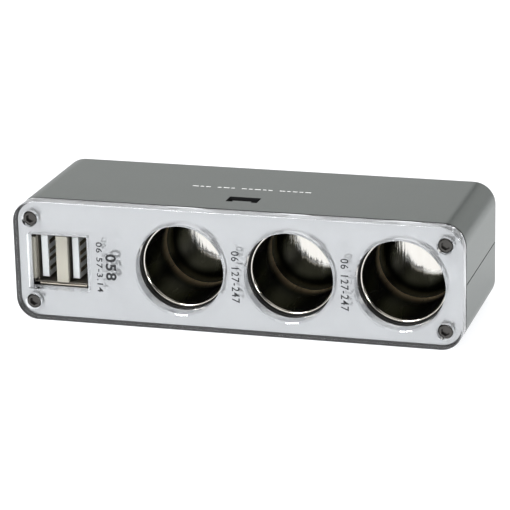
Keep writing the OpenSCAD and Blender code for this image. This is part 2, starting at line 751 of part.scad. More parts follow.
module cord_inlet()
    color([0.06, 0.06, 0.06]) on_base() difference() {
        union() {
            rod_y(inlet_x, 0, inner_back_y - inlet_flange_t, inner_back_y, inlet_flange_r);
            rod_y(inlet_x, 0, inner_back_y - inlet_flange_t / 2, body_depth + inlet_flange_t / 2, neck_r);
            rod_y(inlet_x, 0, body_depth, body_depth + inlet_flange_t, inlet_flange_r);
        }
        rod_y(inlet_x, 0, inner_back_y - inlet_flange_t - cut, body_depth + inlet_flange_t + cut, inlet_r);
    }

// A straight insulated link from the board to the end of a bar
module link(y, z)
    translate([board_face_x, y, z]) rotate([0, 90, 0])
        cylinder(r = lead_r, h = socket_xs[0] - bar_overhang - board_face_x);

module positive_lead()
    color([0.7, 0.08, 0.08]) on_base() link(bar_y + bar_t / 2, 0);

module ground_lead()
    color([0.06, 0.06, 0.06]) on_base() link(ground_lead_y, -ground_drop);

face_plate();
foil_panel();
plate_screws();
carrier();
top_shell();
bottom_shell();
shell_screws();
socket_cup(0);  // socket_cup_1
socket_cup(1);  // socket_cup_2
socket_cup(2);  // socket_cup_3
insulating_bush(0);  // insulating_bush_1
insulating_bush(1);  // insulating_bush_2
insulating_bush(2);  // insulating_bush_3
contact(0);  // contact_1
contact(1);  // contact_2
contact(2);  // contact_3
spring_seat(0);  // spring_seat_1
spring_seat(1);  // spring_seat_2
spring_seat(2);  // spring_seat_3
contact_spring(0);  // contact_spring_1
contact_spring(1);  // contact_spring_2
contact_spring(2);  // contact_spring_3
bush_clips();
positive_bar();
ground_strip();
bar_screws();
usb_shield();
usb_insulator();
usb_tongues();
usb_contacts();
circuit_board();
choke_core();
choke_winding();
big_capacitor();
small_capacitor();
converter_chip();
rectifier_diode();
cord_inlet();
positive_lead();
ground_lead();
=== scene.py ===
import math

import bmesh
import bpy
from mathutils import Matrix, Vector


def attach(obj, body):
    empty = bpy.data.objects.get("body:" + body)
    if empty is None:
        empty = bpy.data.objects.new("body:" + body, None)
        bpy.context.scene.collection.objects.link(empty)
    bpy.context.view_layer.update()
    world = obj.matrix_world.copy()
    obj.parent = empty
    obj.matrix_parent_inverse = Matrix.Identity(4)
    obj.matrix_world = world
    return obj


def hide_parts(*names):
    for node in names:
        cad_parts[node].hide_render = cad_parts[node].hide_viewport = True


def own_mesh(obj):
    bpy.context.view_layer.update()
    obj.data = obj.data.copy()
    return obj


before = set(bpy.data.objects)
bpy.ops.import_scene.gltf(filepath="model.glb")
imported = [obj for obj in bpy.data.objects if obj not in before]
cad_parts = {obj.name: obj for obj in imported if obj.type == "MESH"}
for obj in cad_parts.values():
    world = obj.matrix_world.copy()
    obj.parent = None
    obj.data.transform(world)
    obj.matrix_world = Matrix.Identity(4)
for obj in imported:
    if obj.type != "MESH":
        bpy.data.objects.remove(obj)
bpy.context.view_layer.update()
scene = bpy.context.scene
print("frame loaded:", len(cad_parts), "CAD nodes")

# Sizes below are in millimetres: x to the right, y back from the plate's front, z up from mid-height.
# settle() brings a finished mesh from there into the row frame.
box = dict(width=116.1, height=31.5, depth=41.5, corner=5.75)
sockets = dict(xs=(-14.25, 13.95, 42.15), holeRadius=11.4)
toRowFrame = Matrix.Scale(0.001, 4) @ Matrix.Translation((0, -box["depth"] / 2, box["height"] / 2))


# ---- modelling helpers

def dropSelection():
    if bpy.context.mode != "OBJECT":
        bpy.ops.object.mode_set(mode="OBJECT")
    bpy.ops.object.select_all(action="DESELECT")


def startPiece(name):
    # names the primitive that was just added and opens it in edit mode
    piece = bpy.context.object
    piece.name = piece.data.name = name
    bpy.ops.object.transform_apply(location=True, rotation=True, scale=True)
    bpy.ops.object.mode_set(mode="EDIT")
    return piece


def addBlock(name, low, high):
    dropSelection()
    size = [b - a for a, b in zip(low, high)]
    middle = [(a + b) / 2 for a, b in zip(low, high)]
    bpy.ops.mesh.primitive_cube_add(size=1, location=middle, scale=size)
    return startPiece(name)


def addRod(name, start, length, radius, axis="Y", sides=48):
    dropSelection()
    turn = {"X": (0, math.pi / 2, 0), "Y": (math.pi / 2, 0, 0), "Z": (0, 0, 0)}[axis]
    middle = Vector(start) + Vector([length / 2 if a == axis else 0 for a in "XYZ"])
    bpy.ops.mesh.primitive_cylinder_add(vertices=sides, radius=radius, depth=length, location=middle, rotation=turn)
    return startPiece(name)


def pick(kind, test):
    # selects only the vertices, edges or faces that pass the test
    bpy.ops.mesh.select_mode(type=kind)
    bpy.ops.mesh.select_all(action="DESELECT")
    mesh = bpy.context.object.data
    shape = bmesh.from_edit_mesh(mesh)
    shape.normal_update()
    for part in {"VERT": shape.verts, "EDGE": shape.edges, "FACE": shape.faces}[kind]:
        if test(part):
            part.select_set(True)
    shape.select_flush_mode()
    bmesh.update_edit_mesh(mesh)


def runsAlong(edge, axis):
    way = edge.verts[1].co - edge.verts[0].co
    return abs(way[axis]) > 0.98 * way.length


def liesAt(part, axis, value, near=0.01):
    return all(abs(v.co[axis] - value) < near for v in part.verts)


def faces(face, axis, sign=1):
    return face.normal[axis] * sign > 0.99


def roundEdges(test, radius, segments):
    pick("EDGE", test)
    bpy.ops.mesh.bevel(offset=radius, offset_type="OFFSET", segments=segments, profile=0.5, affect="EDGES")


def fixOrder():
    # sorts by distance from a point off every symmetry plane, so that each run numbers the mesh alike
    scene.cursor.location = (313.7, -211.3, 171.9)
    bpy.ops.mesh.select_all(action="SELECT")
    bpy.ops.mesh.sort_elements(type="CURSOR_DISTANCE", elements={"VERT", "EDGE", "FACE"})


def turnRings(name, x, z, rings, sides=96, closed=False, capped=False):
    # turned parts: a circle, extruded and resized from ring to ring as (radius, depth) along Y
    dropSelection()
    radius, depth = rings[0]
    bpy.ops.mesh.primitive_circle_add(vertices=sides, radius=radius, location=(x, depth, z),
                                      rotation=(math.pi / 2, 0, 0))
    piece = startPiece(name)
    bpy.ops.mesh.select_all(action="SELECT")
    if capped:
        bpy.ops.mesh.edge_face_add()
        bpy.ops.mesh.select_mode(type="EDGE")
    for nextRadius, nextDepth in rings[1:]:
        pick("VERT", lambda v, d=depth, r=radius: abs(v.co.y - d) < 2e-4
             and abs(math.hypot(v.co.x - x, v.co.z - z) - r) < 2e-3 and not v.hide)
        bpy.ops.mesh.select_mode(type="EDGE")
        bpy.ops.mesh.extrude_edges_move(TRANSFORM_OT_translate={"value": (0, nextDepth - depth, 0)})
        bpy.ops.transform.resize(value=(nextRadius / radius, 1, nextRadius / radius), center_override=(x, nextDepth, z))
        radius, depth = nextRadius, nextDepth
    if capped:
        bpy.ops.mesh.edge_face_add()
    bpy.ops.mesh.select_all(action="SELECT")
    bpy.ops.mesh.remove_doubles(threshold=0.002)
    if closed or capped:
        bpy.ops.mesh.normals_make_consistent(inside=False)
    fixOrder()
    return piece


def arc(middle, radius, start, end, steps):
    # points (radius, depth) round a bend, angles in degrees
    turn = [math.radians(start + (end - start) * i / steps) for i in range(steps + 1)]
    return [(middle[0] + radius * math.cos(a), middle[1] + radius * math.sin(a)) for a in turn]


def cutWith(piece, cutter):
    dropSelection()
    modifier = piece.modifiers.new("cut", "BOOLEAN")
    modifier.operation = "DIFFERENCE"
    modifier.solver = "EXACT"
    modifier.object = cutter
    bpy.context.view_layer.objects.active = piece
    bpy.ops.object.modifier_apply(modifier=modifier.name)
    bpy.data.objects.remove(cutter, do_unlink=True)


def joinPieces(piece, extras):
    dropSelection()
    for extra in extras:
        extra.select_set(True)
    piece.select_set(True)
    bpy.context.view_layer.objects.active = piece
    bpy.ops.object.join()
    return piece


def copyPiece(piece, name, shift):
    twin = piece.copy()
    twin.data = piece.data.copy()
    twin.name = twin.data.name = name
    twin.data.transform(Matrix.Translation(shift))
    scene.collection.objects.link(twin)
    return twin


def smooth(piece, angle=35, even=True):
    dropSelection()
    piece.select_set(True)
    bpy.context.view_layer.objects.active = piece
    bpy.ops.object.shade_smooth_by_angle(angle=math.radians(angle))
    if even:
        modifier = piece.modifiers.new("flatFacesStayFlat", "WEIGHTED_NORMAL")
        modifier.keep_sharp = True
        modifier.weight = 100
        bpy.ops.object.modifier_apply(modifier=modifier.name)


def settle(piece, body, slot, material, *nodes):
    # into the row frame, onto its body, with its finish
    dropSelection()
    piece.data.transform(toRowFrame)
    piece.data.materials.clear()
    piece.data.materials.append(material)
    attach(piece, body)
    if nodes:
        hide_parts(*nodes)
    return piece


# ---- material helpers

def linear(hexColour):
    channels = [int(hexColour[i:i + 2], 16) / 255 for i in (1, 3, 5)]
    return [c / 12.92 if c <= 0.04045 else ((c + 0.055) / 1.055) ** 2.4 for c in channels] + [1]


def addNode(tree, kind, settings=None, values=None, links=None):
    # settings are the node's own fields, values its sockets, links {socket: (node, output)}
    node = tree.nodes.new(kind)
    for field, value in (settings or {}).items():
        setattr(node, field, value)
    for socket, value in (values or {}).items():
        node.inputs[socket].default_value = value
    for socket, (source, output) in (links or {}).items():
        tree.links.new(source.outputs[output], node.inputs[socket])
    return node


def newMaterial(name, values):
    # an empty material with one Principled shader whose fixed values sit on its own sockets
    material = bpy.data.materials.new(name)
    material.use_nodes = True
    tree = material.node_tree
    tree.nodes.clear()
    shader = addNode(tree, "ShaderNodeBsdfPrincipled", None, values)
    addNode(tree, "ShaderNodeOutputMaterial", None, None, {"Surface": (shader, "BSDF")})
    place = addNode(tree, "ShaderNodeTexCoord")
    return material, tree, shader, place


def grain(tree, place, perMillimetre, stretch=(1, 1, 1), detail=2):
    # noise with so many grains to the millimetre, drawn out along an axis by stretch
    mapping = addNode(tree, "ShaderNodeMapping", {"vector_type": "POINT"},
                      {"Scale": [1000 * perMillimetre * s for s in stretch]}, {"Vector": (place, "Object")})
    return addNode(tree, "ShaderNodeTexNoise", None, {"Scale": 1, "Detail": detail}, {"Vector": (mapping, "Vector")})


def spread(tree, source, output, low, high):
    # turns a 0 to 1 pattern into a range of values, such as roughness
    return addNode(tree, "ShaderNodeMapRange", None,
                   {"From Min": 0.25, "From Max": 0.75, "To Min": low, "To Max": high}, {"Value": (source, output)})


def easeBetween(tree, source, output, start, end, low=0.0, high=1.0):
    # goes smoothly from low to high while a place or distance in metres goes from start to end
    return addNode(tree, "ShaderNodeMapRange", {"interpolation_type": "SMOOTHSTEP"},
                   {"From Min": start, "From Max": end, "To Min": low, "To Max": high}, {"Value": (source, output)})


def blendColours(tree, source, output, first, second):
    return addNode(tree, "ShaderNodeMix", {"data_type": "RGBA"}, {"A": linear(first), "B": linear(second)},
                   {"Factor": (source, output)})


def bumpFrom(tree, shader, source, output, strength, millimetres):
    bump = addNode(tree, "ShaderNodeBump", None, {"Strength": strength, "Distance": millimetres / 1000},
                   {"Height": (source, output)})
    tree.links.new(bump.outputs["Normal"], shader.inputs["Normal"])
    return bump


def mouldedPlastic(name, colour, shade, roughness, grainPerMillimetre=1.6, bump=0.12, ior=1.53):
    # injection-moulded: an even colour with faint flow clouds and the mould's fine spark texture
    material, tree, shader, place = newMaterial(name, {"IOR": ior})
    clouds = grain(tree, place, 0.08, detail=3)
    texture = grain(tree, place, grainPerMillimetre, detail=2)
    colours = blendColours(tree, clouds, "Fac", colour, shade)
    gloss = spread(tree, texture, "Fac", roughness - 0.05, roughness + 0.07)
    tree.links.new(colours.outputs["Result"], shader.inputs["Base Color"])
    tree.links.new(gloss.outputs["Result"], shader.inputs["Roughness"])
    bumpFrom(tree, shader, texture, "Fac", bump, 0.03)
    return material


def workedMetal(name, colour, shade, roughness, stretch=(1, 1, 1), linesPerMillimetre=6, bump=0.1):
    # rolled, drawn or plated metal: a slight change of tone and fine lines along the way it was worked
    material, tree, shader, place = newMaterial(name, {"Metallic": 1.0})
    clouds = grain(tree, place, 0.15, detail=3)
    lines = grain(tree, place, linesPerMillimetre, stretch, 3)
    colours = blendColours(tree, clouds, "Fac", colour, shade)
    gloss = spread(tree, lines, "Fac", roughness - 0.05, roughness + 0.08)
    tree.links.new(colours.outputs["Result"], shader.inputs["Base Color"])
    tree.links.new(gloss.outputs["Result"], shader.inputs["Roughness"])
    bumpFrom(tree, shader, lines, "Fac", bump, 0.01)
    return material


# ---- materials

# satin silver-grey lacquer on moulded ABS: soft wide highlights, a fine metallic flake, slightly darker where it pools
satinLacquer, tree, shader, place = newMaterial("satinSilverLacquer", {"Metallic": 0.88, "IOR": 1.5})
flakesPerMetre = 6500  # flakes of 0.15 mm
flakes = addNode(tree, "ShaderNodeTexVoronoi", None, {"Scale": flakesPerMetre, "Randomness": 1},
                 {"Vector": (place, "Object")})
flow = grain(tree, place, 0.05, detail=3)
flakeTone = blendColours(tree, flakes, "Distance", "#676C69", "#717673")
tone = addNode(tree, "ShaderNodeMix", {"data_type": "RGBA", "blend_type": "MULTIPLY"},
               {"B": linear("#F2F3F2"), "Factor": 0.5}, {"A": (flakeTone, "Result")})
tree.links.new(flow.outputs["Fac"], tone.inputs["Factor"])
tree.links.new(tone.outputs["Result"], shader.inputs["Base Color"])
gloss = spread(tree, flakes, "Distance", 0.3, 0.38)
tree.links.new(gloss.outputs["Result"], shader.inputs["Roughness"])
orangePeel = grain(tree, place, 1.1, detail=1)
bumpFrom(tree, shader, orangePeel, "Fac", 0.05, 0.02)

# cut and polished polycarbonate: clear to the edge, a faint cool tint, and a hint of waviness from polishing
clearSheet, tree, shader, place = newMaterial("polishedPolycarbonate", {
    "Base Color": linear("#FBFDFE"), "Transmission Weight": 1.0, "IOR": 1.52})
wave = grain(tree, place, 0.12, detail=1)
scuffs = grain(tree, place, 2.0, (1, 1, 0.12), 2)
gloss = spread(tree, scuffs, "Fac", 0.0, 0.035)
tree.links.new(gloss.outputs["Result"], shader.inputs["Roughness"])
bumpFrom(tree, shader, wave, "Fac", 0.05, 0.05)

# silver film: part mirror, part white satin lacquer, with a very slight cloudiness
mirrorFilm, tree, shader, place = newMaterial("silverFilm", {"Metallic": 0.38, "IOR": 1.5})
haze = grain(tree, place, 0.2, detail=2)
colours = blendColours(tree, haze, "Fac", "#CDCED0", "#D2D3D5")
gloss = spread(tree, haze, "Fac", 0.03, 0.05)
tree.links.new(colours.outputs["Result"], shader.inputs["Base Color"])
tree.links.new(gloss.outputs["Result"], shader.inputs["Roughness"])

# deep-drawn steel with dull nickel, polished on the rolled lip; behind the lip the wall carries painted shade, darkest
# in front, that passes into a painted warm glow near the floor;
# each pair of depths says between which Y, in metres, one finish passes into the next
cupDepths = dict(lip=(-0.0148, -0.0145), paintedGlow=(-0.003, 0.0028), diffuseGlow=(-0.001, 0.0028))
drawnNickel, tree, shader, place = newMaterial("deepDrawnNickel", {"Metallic": 1.0})
drawLines = grain(tree, place, 4.0, (1, 0.04, 1), 3)
clouds = grain(tree, place, 0.12, detail=3)
parts = addNode(tree, "ShaderNodeSeparateXYZ", None, None, {"Vector": (place, "Object")})
# painted shade: the front of the wall gets a dark tone, which towards the floor turns into a pale painted glow
paintedShadeTone = blendColours(tree, clouds, "Fac", "#4E4E48", "#585852")
towardsFloor = easeBetween(tree, parts, "Y", *cupDepths["paintedGlow"])
wallTone = addNode(tree, "ShaderNodeMix", {"data_type": "RGBA"}, {"B": linear("#F3DDB6")},
                   {"Factor": (towardsFloor, "Result"), "A": (paintedShadeTone, "Result")})
wallGloss = spread(tree, drawLines, "Fac", 0.26, 0.34)
behindLip = addNode(tree, "ShaderNodeMapRange", None,
                    {"From Min": cupDepths["lip"][0], "From Max": cupDepths["lip"][1]}, {"Value": (parts, "Y")})
colours = addNode(tree, "ShaderNodeMix", {"data_type": "RGBA"}, {"A": linear("#E8E3DA")},
                  {"Factor": (behindLip, "Result"), "B": (wallTone, "Result")})
gloss = addNode(tree, "ShaderNodeMix", {"data_type": "FLOAT"}, {"A": 0.12},
                {"Factor": (behindLip, "Result"), "B": (wallGloss, "Result")})
tree.links.new(colours.outputs["Result"], shader.inputs["Base Color"])
tree.links.new(gloss.outputs["Result"], shader.inputs["Roughness"])
# painted shade also dims what the front of the wall mirrors at a slant; it clears towards the floor
shadedReflectionTint = blendColours(tree, towardsFloor, "Result", "#6A6C6A", "#E0E0E0")
tree.links.new(shadedReflectionTint.outputs["Result"], shader.inputs["Specular Tint"])
# near the floor the wall turns from metal to mostly diffuse, so that the pale painted tone there shows as a glow
diffuseTowardsFloor = easeBetween(tree, parts, "Y", *cupDepths["diffuseGlow"], 1.0, 0.15)
tree.links.new(diffuseTowardsFloor.outputs["Result"], shader.inputs["Metallic"])
bumpFrom(tree, shader, drawLines, "Fac", 0.05, 0.01)

# pressed contact plate: the same nickel, brushed upright, so that what it mirrors frays into short teeth
brushedNickel, tree, shader, place = newMaterial("brushedContactNickel", {"Metallic": 1.0})
brush = grain(tree, place, 1.3, (1, 1, 0.05), 2)
brushed = blendColours(tree, brush, "Fac", "#DAD7D0", "#E4E2DD")
gloss = spread(tree, brush, "Fac", 0.04, 0.1)
# painted shade round the rim, where the floor meets the cup wall: darker by the distance in metres from the nearest of
# the three axes
socketAxes = dict(firstX=-0.01425, halfSpacing=0.0141, z=0.01575, rim=(0.0056, 0.0084))
parts = addNode(tree, "ShaderNodeSeparateXYZ", None, None, {"Vector": (place, "Object")})
shifted = addNode(tree, "ShaderNodeMath", {"operation": "ADD"}, {1: -socketAxes["firstX"]}, {0: (parts, "X")})
across = addNode(tree, "ShaderNodeMath", {"operation": "WRAP"},
                 {1: socketAxes["halfSpacing"], 2: -socketAxes["halfSpacing"]}, {0: (shifted, "Value")})
upward = addNode(tree, "ShaderNodeMath", {"operation": "SUBTRACT"}, {1: socketAxes["z"]}, {0: (parts, "Z")})
offAxis = addNode(tree, "ShaderNodeCombineXYZ", None, None, {"X": (across, "Value"), "Y": (upward, "Value")})
radius = addNode(tree, "ShaderNodeVectorMath", {"operation": "LENGTH"}, None, {0: (offAxis, "Vector")})
paintedRimShade = easeBetween(tree, radius, "Value", *socketAxes["rim"])
colours = addNode(tree, "ShaderNodeMix", {"data_type": "RGBA"}, {"B": linear("#2E302C")},
                  {"Factor": (paintedRimShade, "Result"), "A": (brushed, "Result")})
tree.links.new(colours.outputs["Result"], shader.inputs["Base Color"])
tree.links.new(gloss.outputs["Result"], shader.inputs["Roughness"])
bumpFrom(tree, shader, brush, "Fac", 0.8, 0.04)

blackAbs = mouldedPlastic("mouldedBlackAbs", "#121314", "#1A1B1C", 0.42)
creamNylon = mouldedPlastic("mouldedCreamNylon", "#ABA89D", "#A09D92", 0.45)
whiteNylon = mouldedPlastic("mouldedWhiteNylon", "#E6EAEC", "#DADEDF", 0.38)
blackPvc = mouldedPlastic("softBlackPvc", "#17181A", "#1F2022", 0.5, 0.9, 0.2)
redPvc = mouldedPlastic("redWireInsulation", "#8E1518", "#7A1114", 0.4)
blackWire = mouldedPlastic("blackWireInsulation", "#161616", "#1D1D1D", 0.4)
chipResin = mouldedPlastic("mouldedEpoxyResin", "#1A1A1B", "#222223", 0.55, 3.0)
ferrite = mouldedPlastic("sinteredFerrite", "#3B3C3E", "#2E2F31", 0.6, 2.0, 0.3)
sleeveBlue = mouldedPlastic("shrunkSleeve", "#1C2440", "#161C33", 0.3)
blackInk = mouldedPlastic("printedBlackInk", "#16171A", "#1E1F22", 0.5)
adhesiveTape = mouldedPlastic("blackFoamTape", "#0B0B0C", "#101011", 0.85, ior=1.2)
whiteInk = mouldedPlastic("printedWhiteInk", "#E9EAE8", "#DDDEDC", 0.5)

screwSteel = workedMetal("blackNickelScrewSteel", "#5A5856", "#434240", 0.2)
shieldTin = workedMetal("tinPlatedSheet", "#948F86", "#868178", 0.42, (1, 0.08, 1))
pinPlating = workedMetal("platedContactStrip", "#8F8672", "#7C745F", 0.3, (1, 0.08, 1))
rolledBrass = workedMetal("rolledBrass", "#C9A961", "#B89750", 0.32, (0.06, 1, 1))
zincSteel = workedMetal("zincPlatedSteel", "#A9ABAD", "#97999B", 0.36, (0.06, 1, 1))
springWire = workedMetal("drawnSpringWire", "#9C9C9A", "#8A8A88", 0.28)
copperWire = workedMetal("enamelledCopper", "#B46A3C", "#9E5A30", 0.28, (1, 1, 0.1), 3.0, 0.5)

# green solder mask over glass-epoxy: glossy, with the weave of the glass cloth just showing
solderMask, tree, shader, place = newMaterial("greenSolderMask", {
    "IOR": 1.55, "Coat Weight": 0.4, "Coat Roughness": 0.2})
weave = addNode(tree, "ShaderNodeTexWave", {"wave_type": "BANDS", "bands_direction": "Z"},
                {"Scale": 900, "Distortion": 0.6}, {"Vector": (place, "Object")})
colours = blendColours(tree, weave, "Fac", "#14532B", "#1A6134")
gloss = spread(tree, weave, "Fac", 0.25, 0.35)
tree.links.new(colours.outputs["Result"], shader.inputs["Base Color"])
tree.links.new(gloss.outputs["Result"], shader.inputs["Roughness"])
print("materials made:", len(bpy.data.materials))

# ---- CAD nodes that stay, with their finishes
cadFinishes = {
    "foil_panel": mirrorFilm, "carrier": blackAbs, "bush_clips": zincSteel,
    "positive_bar": rolledBrass, "ground_strip": zincSteel, "bar_screws": zincSteel,
    "circuit_board": solderMask, "choke_core": ferrite, "choke_winding": copperWire,
    "big_capacitor": sleeveBlue, "small_capacitor": sleeveBlue,
    "converter_chip": chipResin, "rectifier_diode": chipResin,
    "positive_lead": redPvc, "ground_lead": blackWire, "shell_screws": screwSteel,
    "insulating_bush_1": blackAbs, "insulating_bush_2": blackAbs, "insulating_bush_3": blackAbs,
    "spring_seat_1": rolledBrass, "spring_seat_2": rolledBrass, "spring_seat_3": rolledBrass}
for nodeName, finish in cadFinishes.items():
    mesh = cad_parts[nodeName].data
    mesh.materials.clear()
    mesh.materials.append(finish)

# ---- housing halves
housing = dict(front=3.95, wall=2.0, backRounding=1.75, seam=0.3, seamDepth=0.6, cornerSteps=16)
slotCut = dict(x=-0.7, y=10.3, width=8.2, reach=4.2, lipWidth=5.0, lipReach=1.1, lipThick=1.2)


def housingHalf(name, cutHeight, keepUpper):
    # a block with its long corners and back edges rounded, opened at the front, halved and hollowed
    halfW, halfH = box["width"] / 2, box["height"] / 2
    piece = addBlock(name, (-halfW, housing["front"], -halfH), (halfW, box["depth"], halfH))
    roundEdges(lambda e: runsAlong(e, 1), box["corner"], housing["cornerSteps"])
    roundEdges(lambda e: liesAt(e, 1, box["depth"]), housing["backRounding"], 6)
    pick("FACE", lambda f: faces(f, 1, -1))
    bpy.ops.mesh.delete(type="FACE")
    bpy.ops.mesh.select_all(action="SELECT")
    bpy.ops.mesh.bisect(plane_co=(0, 0, cutHeight), plane_no=(0, 0, 1),
                        clear_inner=keepUpper, clear_outer=not keepUpper)
    bpy.ops.object.mode_set(mode="OBJECT")
    walls = piece.modifiers.new("walls", "SOLIDIFY")
    walls.thickness = housing["wall"]
    walls.offset = -1
    walls.use_even_offset = True
    bpy.ops.object.modifier_apply(modifier=walls.name)
    return piece


topHalf = housingHalf("topShell", housing["seam"], True)
bpy.context.view_layer.objects.active = topHalf
bpy.ops.object.mode_set(mode="EDIT")
pick("FACE", lambda f: faces(f, 2, -1) and liesAt(f, 2, housing["seam"]))  # the rim: a tongue closes the shadow groove
bpy.ops.mesh.inset(thickness=housing["seamDepth"], use_boundary=True)
bpy.ops.mesh.extrude_region_move(TRANSFORM_OT_translate={"value": (0, 0, -housing["seam"])})
slotX, slotTop = slotCut["x"], box["height"] / 2
slotCutter = addBlock("slotCutter", (slotX - slotCut["width"] / 2, slotCut["y"], slotTop - 3),
                      (slotX + slotCut["width"] / 2, slotCut["y"] + slotCut["reach"], slotTop + 1))
roundEdges(lambda e: runsAlong(e, 2), 0.25, 3)
cutWith(topHalf, slotCutter)
lip = addBlock("slotLip", (slotX - slotCut["lipWidth"] / 2, slotCut["y"], slotTop - slotCut["lipThick"]),
               (slotX + slotCut["lipWidth"] / 2, slotCut["y"] + slotCut["lipReach"], slotTop - 0.02))
roundEdges(lambda e: liesAt(e, 1, slotCut["y"] + slotCut["lipReach"])
           or (runsAlong(e, 1) and liesAt(e, 2, slotTop - 0.02)), 0.2, 3)
joinPieces(topHalf, [lip])
smooth(topHalf)
lining, liningStep = [], 0.06
for low, high in (((-0.5, 1), (0.5, 1)), ((-0.5, 0), (-0.5, 1)), ((0.5, 0), (0.5, 1))):
    # the slot's back and side walls are lined with black, which stands proud of them by liningStep
    a = [slotX + low[0] * slotCut["width"], slotCut["y"] + low[1] * slotCut["reach"], slotTop - 2.0]
    b = [slotX + high[0] * slotCut["width"], slotCut["y"] + high[1] * slotCut["reach"], slotTop - 0.08]
    lining.append(addBlock("slotLining", [v - liningStep for v in a[:2]] + a[2:],
                           [v + liningStep for v in b[:2]] + b[2:]))
joinPieces(lining[0], lining[1:])
settle(lining[0], "housing", "black_plastic", blackAbs)
settle(topHalf, "housing", "grey_shell", satinLacquer, "top_shell")

bottomHalf = housingHalf("bottomShell", 0, False)
rearScrews = dict(x=52.15, y=35.6, recess=2.2, headSeat=-8.0, boss=3.0)
bosses = []
for side in (-1, 1):
    cutter = addRod("recessCutter", (side * rearScrews["x"], rearScrews["y"], -17), 3.6, rearScrews["recess"], "Z")
    cutWith(bottomHalf, cutter)
    boss = addRod("rearBoss", (side * rearScrews["x"], rearScrews["y"], -14.5), 14.4, rearScrews["boss"], "Z")
    pick("FACE", lambda f: faces(f, 2, -1))
    bpy.ops.mesh.inset(thickness=rearScrews["boss"] - rearScrews["recess"])
    bpy.ops.mesh.extrude_region_move(TRANSFORM_OT_translate={"value": (0, 0, rearScrews["headSeat"] + 14.5)})
    bosses.append(boss)
joinPieces(bottomHalf, bosses)
smooth(bottomHalf)
settle(bottomHalf, "housing", "grey_shell", satinLacquer, "bottom_shell")
print("housing halves made")

# ---- clear front plate; the film is bonded to its back, so the back face lies 0.005 mm behind the film's front
plate = dict(thick=3.205, frontRounding=0.4, holeBevel=0.5, flare=0.12, flareDepth=0.36, holeDepth=0.62,
             headHole=2.1, headSeat=2.1, shankHole=1.1, screwX=53.5, screwZ=11.0, cutterEnd=4.2,
             window=((-54.4, -7.5), (-38.4, 7.1)))
halfW, halfH = box["width"] / 2, box["height"] / 2
clearPlate = addBlock("clearPlate", (-halfW, 0, -halfH), (halfW, plate["thick"], halfH))
roundEdges(lambda e: runsAlong(e, 1), box["corner"], 20)
roundEdges(lambda e: liesAt(e, 1, 0), plate["frontRounding"], 4)
for x in sockets["xs"]:
    # hole cutter: a round bar whose front end flares for the polished bevel. The flare runs straight through the
    # plate's front plane, because a ring of the cutter in that plane made the cut come out differently each run
    r, bevel, flare, flareDepth = sockets["holeRadius"], plate["holeBevel"], plate["flare"], plate["flareDepth"]
    steps = [(r + bevel + (bevel - flare) / flareDepth, -1), (r + flare, flareDepth),
             (r, plate["holeDepth"]), (r, plate["cutterEnd"])]
    cutWith(clearPlate, turnRings("holeCutter", x, 0, steps, 128, capped=True))
(x0, z0), (x1, z1) = plate["window"]
windowCutter = addBlock("windowCutter", (x0, -1, z0), (x1, 4.5, z1))
roundEdges(lambda e: runsAlong(e, 1), 0.3, 4)
cutWith(clearPlate, windowCutter)
for sx in (-1, 1):
    for sz in (-1, 1):
        steps = [(plate["headHole"], -1), (plate["headHole"], plate["headSeat"]),
                 (plate["shankHole"], plate["headSeat"]), (plate["shankHole"], plate["cutterEnd"])]
        cutter = turnRings("screwCutter", sx * plate["screwX"], sz * plate["screwZ"], steps, 48, capped=True)
        cutWith(clearPlate, cutter)
smooth(clearPlate)
settle(clearPlate, "housing", "clear_plate", clearSheet, "face_plate")

# black tape that bonds the plate to the carrier all round the film
tape = dict(front=3.22, back=3.34, inset=0.0, width=0.7)
outer, inner = tape["inset"], tape["inset"] + tape["width"]
bead = addBlock("plateTape", (outer - halfW, tape["front"], outer - halfH),
                (halfW - outer, tape["back"], halfH - outer))
roundEdges(lambda e: runsAlong(e, 1), box["corner"] - outer, 16)
tapeCutter = addBlock("tapeCutter", (inner - halfW, 2, inner - halfH), (halfW - inner, 5, halfH - inner))
roundEdges(lambda e: runsAlong(e, 1), box["corner"] - inner, 16)
cutWith(bead, tapeCutter)
smooth(bead)
settle(bead, "housing", "black_plastic", adhesiveTape)
print("clear plate made")

# ---- socket cups: rolled lip, straight wall, bend and floor, drawn from one sheet
cup = dict(wallIn=10.65, wallOut=11.05, sheet=0.4, bend=0.8, floorIn=24.6, floorOut=25.0, hole=2.35,
           lipEdge=(10.66, 5.62), lipMiddle=(10.985, 5.7), lipRadius=0.33)
cupRings = (
    [cup["lipEdge"], (cup["wallIn"], 5.9), (cup["wallIn"], 14.9)]
    + arc((cup["wallIn"] - cup["bend"], cup["floorIn"] - cup["bend"]), cup["bend"], 0, 90, 8)
    + [(5.6, cup["floorIn"]), (cup["hole"], cup["floorIn"]), (cup["hole"], cup["floorOut"])]
    + arc((cup["wallIn"] - cup["bend"], cup["floorIn"] - cup["bend"]), cup["bend"] + cup["sheet"], 90, 0, 8)
    + [(cup["wallOut"], 6.62), (11.16, 6.40), (11.27, 6.24), (11.31, 6.0)]
    + arc(cup["lipMiddle"], cup["lipRadius"], 10, -166, 10) + [cup["lipEdge"]])
